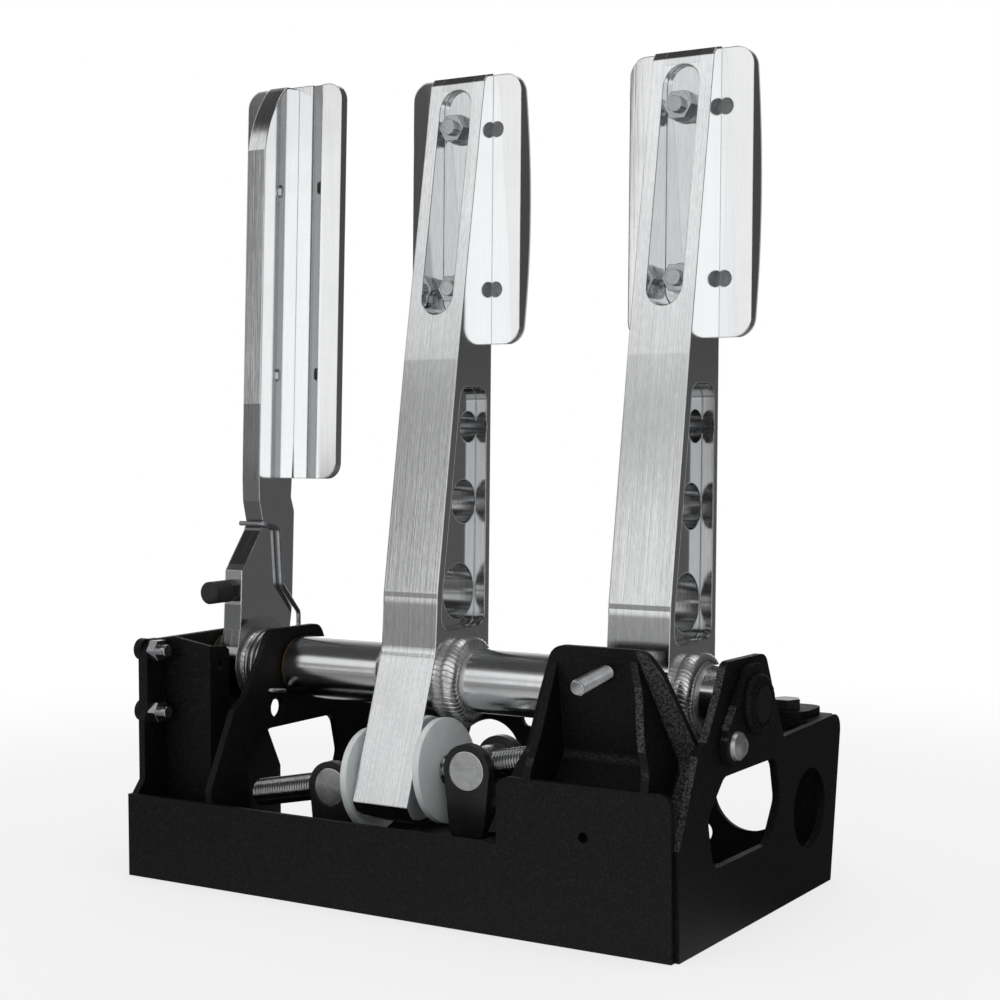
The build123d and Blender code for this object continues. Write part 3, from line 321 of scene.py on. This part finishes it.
def trunnion_steel(name):
    """Zinc-plated cross pin: its end faces carry turned rings, h = 8e-6 sin(2 pi d / 0.5 mm), with d
    the distance from the middle of the nearer trunnion."""
    r = Recipe(name)
    ny = r.axes(r.facing)[1]
    px, _, pz = r.axes(r.place)
    on_right = (px - 0.5 * (LEFT_TRUNNION + RIGHT_TRUNNION)).above(0.0)
    centre_x = LEFT_TRUNNION + on_right * (RIGHT_TRUNNION - LEFT_TRUNNION)
    centre_z = BALL[2] + (centre_x - BRAKE_X) * math.tan(BAR_TILT)
    reach = ((px - centre_x) * (px - centre_x) + (pz - centre_z) * (pz - centre_z)) ** 0.5
    rings = (reach * (2 * math.pi / 0.0005)).wave() * abs(ny).ramp(0.8, 0.95)
    cloud = r.noise(300.0, 3.0, 0.6)
    tone = (0.72, 0.73, 0.74)
    colour = r.tint(cloud.ramp(0.35, 0.8), tone, darker(tone, 0.74))
    normal = r.relief(rings * 0.000008, 1.0, 1.0, r.soft_edges(0.0006))
    return r.finish(colour, 0.20 + cloud * 0.12, 1.0, normal)


def part_coated(name, low, high):
    """Ground steel between low and high along X, powder-coated with the sheet metal outside them."""
    r = Recipe(name)
    px = r.axes(r.place)[0]
    coated = px.above(high).most(1.0 - px.above(low))
    fine = r.noise(1.0, 3.0, 0.6, r.stretched((3000.0, 200.0, 200.0)))
    grain = r.noise(1500.0, 3.0, 0.6)
    steel = r.tint(fine, (0.60, 0.61, 0.63), (0.46, 0.47, 0.48))
    colour = r.tint(coated, steel, (0.006, 0.006, 0.0065))
    rough = (0.18 + fine * 0.1) * (1.0 - coated) + (0.36 + grain * 0.2) * coated
    height = fine * (1.0 - coated) * 0.3 + grain * coated
    normal = r.relief(height, 0.00015, 0.5, r.soft_edges(0.0008))
    return r.finish(colour, rough, 1.0 - coated, normal, {"Specular IOR Level": 0.2})


def weld_alloy(name):
    """Fresh weld in aluminium: bright satin ripples with rougher lines between them, darkened as painted
    shade in the creases; the place within each ripple comes from the mesh's own attribute."""
    r = Recipe(name)
    frost = r.noise(1700.0, 3.0, 0.6)
    patch = r.noise(120.0)
    ripple = r.add("ShaderNodeAttribute", {"attribute_name": "ripple"}, {}, "Fac")
    crease_shade = (1.0 - ripple.ramp(0.05, 0.30)).most(ripple.ramp(0.90, 1.0))
    shade = (frost * 0.4 + patch * 0.6).ramp(0.3, 0.75)
    colour = r.tint(shade, (0.95, 0.95, 0.95), (0.80, 0.80, 0.81))
    # Painted shade in the creases between the ripples
    colour = r.tint(crease_shade * 0.65, colour, (0.30, 0.29, 0.29))
    rough = 0.26 + frost * 0.12 + crease_shade * 0.15
    return r.finish(colour, rough, 1.0, r.relief(frost, 0.00005, 0.4))


def plated_steel(name, tone, rough, edge=0.0003, grain=(900.0, 900.0, 900.0)):
    """Bright zinc or ground steel: fine grain, slightly cloudy plating."""
    r = Recipe(name)
    fine = r.noise(1.0, 3.0, 0.6, r.stretched(grain))
    cloud = r.noise(140.0)
    colour = r.tint((fine * 0.4 + cloud * 0.6).ramp(0.3, 0.75), tone, darker(tone, 0.72))
    gloss = rough + fine * 0.10 + cloud * 0.06
    return r.finish(colour, gloss, 1.0, r.relief(fine, 0.00004, 0.4, r.soft_edges(edge)))


def black_oxide(name):
    """Blackened steel: smooth, slightly oily, a little lighter where it is rubbed."""
    r = Recipe(name)
    fine = r.noise(700.0, 3.0, 0.6)
    rub = r.noise(60.0)
    shade = (fine * 0.4 + rub * 0.6).ramp(0.35, 0.8)
    colour = r.tint(shade, (0.010, 0.010, 0.011), (0.035, 0.035, 0.037))
    normal = r.relief(fine, 0.00006, 0.5, r.soft_edges(0.0005))
    return r.finish(colour, 0.26 + fine * 0.14, 0.25, normal, {"Specular IOR Level": 0.6})


def nylon(name):
    """Turned natural nylon: milky, faint turning rings, light passing a little way in."""
    r = Recipe(name)
    haze = r.noise(210.0, 3.0, 0.55)
    rings = r.noise(1.0, 2.0, 0.5, r.stretched((1900.0, 200.0, 200.0)))
    colour = r.tint(haze.ramp(0.3, 0.75), (0.86, 0.90, 0.90), (0.78, 0.83, 0.84))
    normal = r.relief(rings * 0.6 + haze * 0.4, 0.00006, 0.4, r.soft_edges(0.0004))
    return r.finish(colour, 0.30 + rings * 0.12, 0.0, normal,
                    {"Subsurface Weight": 0.35, "Subsurface Radius": (0.006, 0.007, 0.008),
                     "Subsurface Scale": 0.5})


def grip_film(name):
    """Pale grip sheet: fine mineral grit in a clear binder."""
    r = Recipe(name)
    grit = r.cells(1500.0)
    cloud = r.noise(60.0, 3.0)
    shade = grit.ramp(0.1, 0.6) * 0.6 + cloud * 0.4
    colour = r.tint(shade, (0.50, 0.51, 0.52), (0.72, 0.73, 0.74))
    normal = r.relief(1.0 - grit, 0.00025, 0.7, r.soft_edges(0.0004))
    return r.finish(colour, 0.62 + cloud * 0.15, 0.0, normal)


def bearing_bronze(name):
    """Sintered bronze with dark oil pores."""
    r = Recipe(name)
    pores = r.cells(1800.0)
    cloud = r.noise(300.0)
    colour = r.tint(pores.ramp(0.1, 0.5) * 0.7 + cloud * 0.3, (0.30, 0.20, 0.10), (0.62, 0.44, 0.22))
    return r.finish(colour, 0.38 + cloud * 0.1, 1.0, r.relief(pores, 0.00005, 0.5))


def knob_rubber(name):
    """Matt black rubber with faint mould grain."""
    r = Recipe(name)
    grain = r.noise(1300.0, 3.0, 0.6)
    dust = r.noise(90.0)
    shade = (grain * 0.4 + dust * 0.6).ramp(0.3, 0.8)
    colour = r.tint(shade, (0.012, 0.012, 0.013), (0.035, 0.035, 0.036))
    normal = r.relief(grain, 0.0001, 0.5, r.soft_edges(0.0004))
    return r.finish(colour, 0.48 + grain * 0.2, 0.0, normal)


POWDER = powder_coat("black_powder_coat")
ARM = milled_alloy("milled_alloy", ARM_BENDS)
TUBE = turned_alloy("turned_alloy")
TRUNNION = trunnion_steel("trunnion_steel")
WELD = weld_alloy("weld_bead")
ZINC = plated_steel("bright_zinc", (0.50, 0.51, 0.52), 0.08)

FINISH_OF_SLOT = {
    "black_powder": POWDER,
    "arm_alloy": ARM,
    "zinc": ZINC,
    "plain_steel": plated_steel("ground_steel", (0.62, 0.63, 0.65), 0.16, grain=(3000.0, 200.0, 200.0)),
    "spring_wire": plated_steel("spring_wire", (0.50, 0.51, 0.53), 0.24),
    "black_steel": black_oxide("black_oxide"),
    "nylon": nylon("natural_nylon"),
    "grip": grip_film("grip_film"),
    "bronze": bearing_bronze("bearing_bronze"),
    "knob_rubber": knob_rubber("knob_rubber"),
}
# Nodes whose finish differs from the rest of their slot
FINISH_OF_NODE = {
    "clutch_stop_tower": powder_coat("tower_powder_coat", web_highlights=True),
    "throttle_arm": milled_alloy("throttle_alloy"),
    "brake_tube": TUBE, "clutch_tube": TUBE, "throttle_hub": TUBE,
    "brake_pad": polished_plate("brake_pad_alloy", BRAKE_X),
    "clutch_pad": polished_plate("clutch_pad_alloy", CLUTCH_X),
    "throttle_pad": polished_plate("throttle_pad_alloy", THROTTLE_PAD_X, 0.6, 0.03, THROTTLE_GROOVES),
    "left_trunnion": TRUNNION, "right_trunnion": TRUNNION,
    "spindle": part_coated("spindle_steel", LEFT - 0.1, RIGHT_PLATE + 0.003),  # bare to its left end
    "left_bolts": part_coated("left_bolt_steel", LEFT + 0.001, RIGHT_PLATE),
    "spindle_screw": plated_steel("socket_screw_zinc", (0.86, 0.88, 0.90), 0.30, 0.0002),
}
for part in frame["record"]["subparts"]:
    mesh = nodes[part["node"]].data
    mesh.materials.clear()
    mesh.materials.append(FINISH_OF_NODE.get(part["node"], FINISH_OF_SLOT[part["material_slot"]]))


# ------------------------------------------------------------------ surfaces
def new_object(name, points, faces, finish):
    """A mesh object from an array of points and a list of faces, in the scene."""
    mesh = bpy.data.meshes.new(name)
    mesh.from_pydata(points.reshape(-1, 3).tolist(), [], faces)
    mesh.materials.append(finish)
    made = bpy.data.objects.new(name, mesh)
    bpy.context.scene.collection.objects.link(made)
    return made


def smooth(mesh):
    """Shades every face smooth."""
    mesh.polygons.foreach_set("use_smooth", np.ones(len(mesh.polygons), dtype=bool))


def round_piece(name, points, finish, body, joined):
    """A grid of points (rows, columns, 3) as a smooth quad mesh, its last row joined to the first.
    Its last column is joined to the first too, or else a face closes each end."""
    rows, columns = points.shape[:2]
    a, b = np.meshgrid(np.arange(rows), np.arange(columns if joined else columns - 1), indexing="ij")
    a2, b2 = (a + 1) % rows, (b + 1) % columns
    corners = [a * columns + b, a2 * columns + b, a2 * columns + b2, a * columns + b2]
    faces = np.stack(corners, -1).reshape(-1, 4).tolist()
    if not joined:
        rim = np.arange(rows) * columns
        faces += [rim[::-1].tolist(), (rim + columns - 1).tolist()]
    piece = new_object(name, points, faces, finish)
    smooth(piece.data)
    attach(piece, body)
    return piece


def weld_ring(name, x, radius, bead, body, ripples, finish, start=0.0, squash=0.8):
    """Weld bead round the pivot axis, a torus: out = radius + squash s cos b and along = s sin b, with
    s = bead (1 + 0.13 (sqrt(1 - saw) - 0.6)) times a slow waver, so that the section swells and
    steps back with each ripple. saw runs from 0 to 1 within a ripple and is kept for the finish."""
    a = start + 2 * math.pi * np.arange(ripples * 12)[:, None] / (ripples * 12)
    b = 2 * math.pi * np.arange(20)[None, :] / 20
    saw = (ripples * (a - start) / (2 * math.pi)) % 1.0
    swell = 1.0 + 0.13 * (np.sqrt(1.0 - saw) - 0.6)
    waver = 1.0 + 0.06 * np.sin(3.1 * a + 0.7) + 0.04 * np.sin(7.3 * a)
    size = bead * swell * waver
    turn = a + 0.35 * bead * np.sin(b) ** 2 / radius
    out = radius + size * np.cos(b) * squash
    points = np.stack([x + size * np.sin(b), PIVOT_Y + out * np.cos(turn), PIVOT_Z + out * np.sin(turn)], -1)
    ring = round_piece(name, points, finish, body, joined=True)
    phase = np.broadcast_to(saw, points.shape[:2]).ravel().astype(np.float32)
    ring.data.attributes.new("ripple", "FLOAT", "POINT").data.foreach_set("value", phase)
    return ring


def threaded_rod(name, start, axis, length, radius, pitch, body, chamfer=0.0006, depth=0.6):
    """Zinc-plated rod with an outside thread: its radius falls by depth times pitch along a triangle
    wave of (distance / pitch - angle / turn), and both ends are chamfered and closed."""
    across = np.cross([0.0, 0.0, 1.0], axis)
    across /= np.linalg.norm(across)
    upward = np.cross(axis, across)
    t = np.linspace(0.0, length, int(length / pitch * 10))[None, :]
    a = 2 * math.pi * np.arange(36)[:, None] / 36
    phase = (t / pitch - a / (2 * math.pi)) % 1.0
    tooth = np.clip(np.abs(phase - 0.5) * 2.6 - 0.2, 0.0, 1.0)
    from_end = np.minimum(t, length - t)
    r = np.minimum(radius - depth * pitch * (1.0 - tooth), radius - chamfer + np.clip(from_end, 0.0, chamfer))
    r = np.where(from_end <= 1e-9, radius - chamfer * 1.2, r)
    points = (start + axis * t[..., None] + across * (r * np.cos(a))[..., None]
              + upward * (r * np.sin(a))[..., None])
    return round_piece(name, points, ZINC, body, joined=False)


def numbers(rows, key, width, kind=np.float32):
    """One property of all of a mesh's points or corners, as an array with a row for each."""
    values = np.empty(len(rows) * width, dtype=kind)
    rows.foreach_get(key, values)
    return values.reshape(-1, width)


def trued_arm(pedal, lip):
    """A milled arm with its lower end trued. What stands in front of the lowest front face is set back
    to it, y = top y - slope (top z - z), and the rounded end under that face is drawn forward and down
    by lip times its distance ahead of the nose's middle, which gives the arm its lower lip. The CAD
    mesh is copied with its equal points merged, and the other faces keep their normals."""
    cad = nodes[pedal + "_arm"].data
    start, merged = np.unique(numbers(cad.vertices, "co", 3), axis=0, return_inverse=True)
    triangles = merged.ravel()[numbers(cad.loops, "vertex_index", 1, np.int32)].reshape(-1, 3)
    y, z = start[:, 1] - FRONT, start[:, 2]
    face = STRAP_TOP[0] - (STRAP_TOP[1] - z) * STRAP_SLOPE
    ahead = (z > TRUED_FROM) & (z < TRUED_TO) & (y < face)
    y = np.where(ahead, face, y)
    outer = (np.hypot(y - NOSE_Y, z - NOSE_Z) > NOSE_R) & (z < LIP_TOP)
    share = lip * np.clip((NOSE_Y - y) / LIP_REACH, 0.0, 1.0) * outer
    points = np.stack([start[:, 0], FRONT + y - LIP_FORWARD * share, z - LIP_DOWN * share], -1)

    a, b, c = points[triangles].transpose(1, 0, 2)
    flat = np.cross(b - a, c - a)
    flat /= np.maximum(np.linalg.norm(flat, axis=1, keepdims=True), 1e-12)
    moved = (ahead | (share > 0.0))[triangles].any(axis=1)
    normals = numbers(cad.corner_normals, "vector", 3).reshape(-1, 3, 3)
    normals = np.where(moved[:, None, None], flat[:, None, :], normals)

    arm = new_object(pedal + "_arm_milled", points, triangles.tolist(), ARM)
    smooth(arm.data)
    arm.data.normals_split_custom_set(normals.reshape(-1, 3).tolist())
    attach(arm, pedal + "_pedal")
    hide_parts(pedal + "_arm")


# The clutch arm keeps its plain round end, because its fork swings close under it
trued_arm("brake", lip=1.0)
trued_arm("clutch", lip=0.0)

# Weld beads between the arms and their tubes, and the coated one round the spindle's end
for pedal, middle, ripples in (("brake", BRAKE_X, 50), ("clutch", CLUTCH_X, 60)):
    for side, offset in (("right", ARM_HALF + 0.0022), ("left", -ARM_HALF - 0.0022)):
        weld_ring(pedal + "_weld_" + side, middle + offset, TUBE_R + 0.0014, 0.0040,
                  pedal + "_pedal", ripples, WELD, start=0.3)
weld_ring("throttle_weld", LEFT + 0.0222, 0.0128, 0.0013, "throttle_pedal", 40, WELD)
spindle_bead = weld_ring("spindle_weld_bead", RIGHT_PLATE + 0.0062, 0.0086, 0.0026, "box", 17,
                         POWDER, squash=0.9)
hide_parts("spindle_weld")

# Threads: stop stud, square to the tower's web, and balance bar
stud_axis = np.array([0.0, math.cos(TOWER_LEAN), math.sin(TOWER_LEAN)])
stud_at_web = np.array([LEFT + 0.2088, FRONT + 0.0186 + 0.0104 * math.tan(TOWER_LEAN), 0.0936])
stud = threaded_rod("stop_stud_thread", stud_at_web - stud_axis * 0.0212, stud_axis,
                    STUD_LENGTH, STUD_R, STUD_PITCH, "box")
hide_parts("stop_stud")
bar_axis = np.array([math.cos(BAR_TILT), 0.0, math.sin(BAR_TILT)])
bar = threaded_rod("balance_bar_thread", BALL - bar_axis * (BAR_LENGTH / 2), bar_axis,
                   BAR_LENGTH, BAR_R, BAR_PITCH, "balance_bar", chamfer=0.001, depth=0.5)
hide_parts("balance_bar")


# ------------------------------------------------------------------ stage, light and camera
def seen_by(recipe):
    """1 where the ray comes from the camera, and 1 where it comes from a mirror-like or clear surface."""
    camera, glossy, clear = [recipe.add("ShaderNodeLightPath", {}, {}, key) for key in
                             ("Is Camera Ray", "Is Glossy Ray", "Is Transmission Ray")]
    return camera, glossy.most(clear)


# Floor: matt paper, white where it is looked at, fading to the white backdrop at its rim; in mirrors it
# glows grey with painted shade, darker towards the left and behind the object
paper = Recipe("studio_floor")
camera_ray, mirror_ray = seen_by(paper)
fx, fy = paper.axes(paper.place)[:2]
rim = ((fx * fx + fy * fy) ** 0.5).ramp(0.26, 0.62)
paper.finish(paper.tint(paper.noise(60.0), (0.90, 0.90, 0.90), (0.92, 0.92, 0.92)), 0.8, 0.0,
             plain={"Specular IOR Level": 0.1})
# Painted shade on the floor as mirrors see it: a glow that dims towards the left and behind the object
in_mirrors = (0.20 + fx.ramp(-0.28, 0.12) * 0.45) * (1.0 - (fx * 0.7 + fy).ramp(0.02, 0.12) * 0.85)
whiteness = (camera_ray + mirror_ray * in_mirrors).least(1.0)
glow = paper.add("ShaderNodeEmission", {}, {"Color": paper.tint(whiteness, BLACK, WHITE)})
glow_share = (camera_ray * (0.72 + rim * 0.28)).most(mirror_ray * 0.97)
matt = Wire(paper, paper.shader.outputs[0])
blend = paper.add("ShaderNodeMixShader", {}, {0: glow_share, 1: matt, 2: glow})
paper.feed(paper.tree.nodes["Material Output"].inputs["Surface"], blend)

FLOOR_R, FLOOR_Z, FLOOR_POINTS = 0.75, -0.0002, 96
around = 2 * math.pi * np.arange(FLOOR_POINTS) / FLOOR_POINTS
edge = np.stack([FLOOR_R * np.cos(around), FLOOR_R * np.sin(around), np.full(FLOOR_POINTS, FLOOR_Z)], -1)
new_object("studio_floor", edge, [list(range(FLOOR_POINTS))], paper.material)

# Studio: white backdrop for the camera. Mirror-like surfaces see soft boxes with darker walls between:
# two in front at the left, one in front at the right and one behind at the left, and a faint glow under
# the horizon. vx, vy, vz is the direction looked in
studio = Recipe("studio", world=True)
camera_ray, mirror_ray = seen_by(studio)
vx, vy, vz = studio.axes(studio.place)
ahead = (0.0 - vx * 0.5 - vy * 0.866).ramp(0.1, 0.3)
across = vx * 0.866 - vy * 0.5
low_box_top = (vz - across * 0.15 - (across + 0.09).least(0.0) * 3.0).ramp(0.240, 0.290)
low_box_sides = across.ramp(-0.165, -0.135) * (1.0 - across.ramp(0.50, 0.62))
low_box = vz.ramp(0.02, 0.06) * (1.0 - low_box_top) * low_box_sides * ahead
high_box = vz.ramp(0.215, 0.36) * (1.0 - vz.ramp(0.53, 0.63)) * ahead * 0.92
side_box = (vx * 0.5 - vy * 0.866).ramp(0.88, 0.94) * (1.0 - vz.ramp(0.32, 0.42)) * (vz + 0.2).ramp(0.0, 0.1)
back_box = (vy * 0.6 - vx * 0.8).ramp(0.48, 0.72) * (1.0 - vz.ramp(0.40, 0.80)) * 0.85
under = (1.0 - vz.ramp(-0.02, 0.06)) * (ahead * 0.22 + 0.02)
in_mirrors = 0.06 + under + (low_box + high_box + side_box + back_box).least(1.0) * 0.84
ambient = 0.60
level = camera_ray + (1.0 - camera_ray) * (mirror_ray * in_mirrors + (1.0 - mirror_ray) * ambient)
studio.feed(studio.shader.inputs["Strength"], level)
studio.feed(studio.shader.inputs["Color"], WHITE)
bpy.context.scene.world = studio.material

# Lamps, all soft rectangles: name, place, what they point at, size and power
LAMPS = (
    ("side", (1.4, -2.1, 0.45), (0.0, 0.0, 0.1), (1.0, 0.9), 0.45),
    ("front_high", (-0.3, -1.9, 1.6), (0.0, 0.0, 0.1), (2.2, 1.0), 1.2),
    ("fill_back", (-1.1, 2.2, 0.4), (0.0, 0.0, 0.15), (1.4, 0.9), 3.5),
    ("top", (0.3, 0.0, 2.3), (0.0, 0.0, 0.1), (1.3, 1.3), 7.0),
)
for name, place, aim, size, power in LAMPS:
    lamp = bpy.data.lights.new(name, "AREA")
    lamp.shape = "RECTANGLE"
    lamp.size, lamp.size_y = size
    lamp.energy = power
    stand = bpy.data.objects.new(name, lamp)
    bpy.context.scene.collection.objects.link(stand)
    stand.location = place
    stand.rotation_euler = (Vector(aim) - Vector(place)).to_track_quat("-Z", "Y").to_euler()

# Camera, solved from the photograph's vanishing points
camera_data = bpy.data.cameras.new("camera")
camera = bpy.data.objects.new("camera", camera_data)
bpy.context.scene.collection.objects.link(camera)
bpy.context.scene.camera = camera
camera_data.sensor_width = 36.0
camera_data.lens = 67.122
camera_data.clip_start = 0.01
CAMERA_PLACE = (LEFT + 0.521976, FRONT - 0.553836, 0.182652)
yaw, pitch, roll = math.radians(31.872), math.radians(2.4503), math.radians(0.26692)
forward = Vector((-math.sin(yaw) * math.cos(pitch), math.cos(yaw) * math.cos(pitch), -math.sin(pitch)))
level_right = Vector((math.cos(yaw), math.sin(yaw), 0.0))
level_down = forward.cross(level_right)
right = level_right * math.cos(roll) + level_down * math.sin(roll)
down = level_down * math.cos(roll) - level_right * math.sin(roll)
turned = Matrix((right, -down, -forward)).transposed().to_4x4()
camera.matrix_world = Matrix.Translation(CAMERA_PLACE) @ turned

bpy.context.scene.view_settings.view_transform = "Standard"
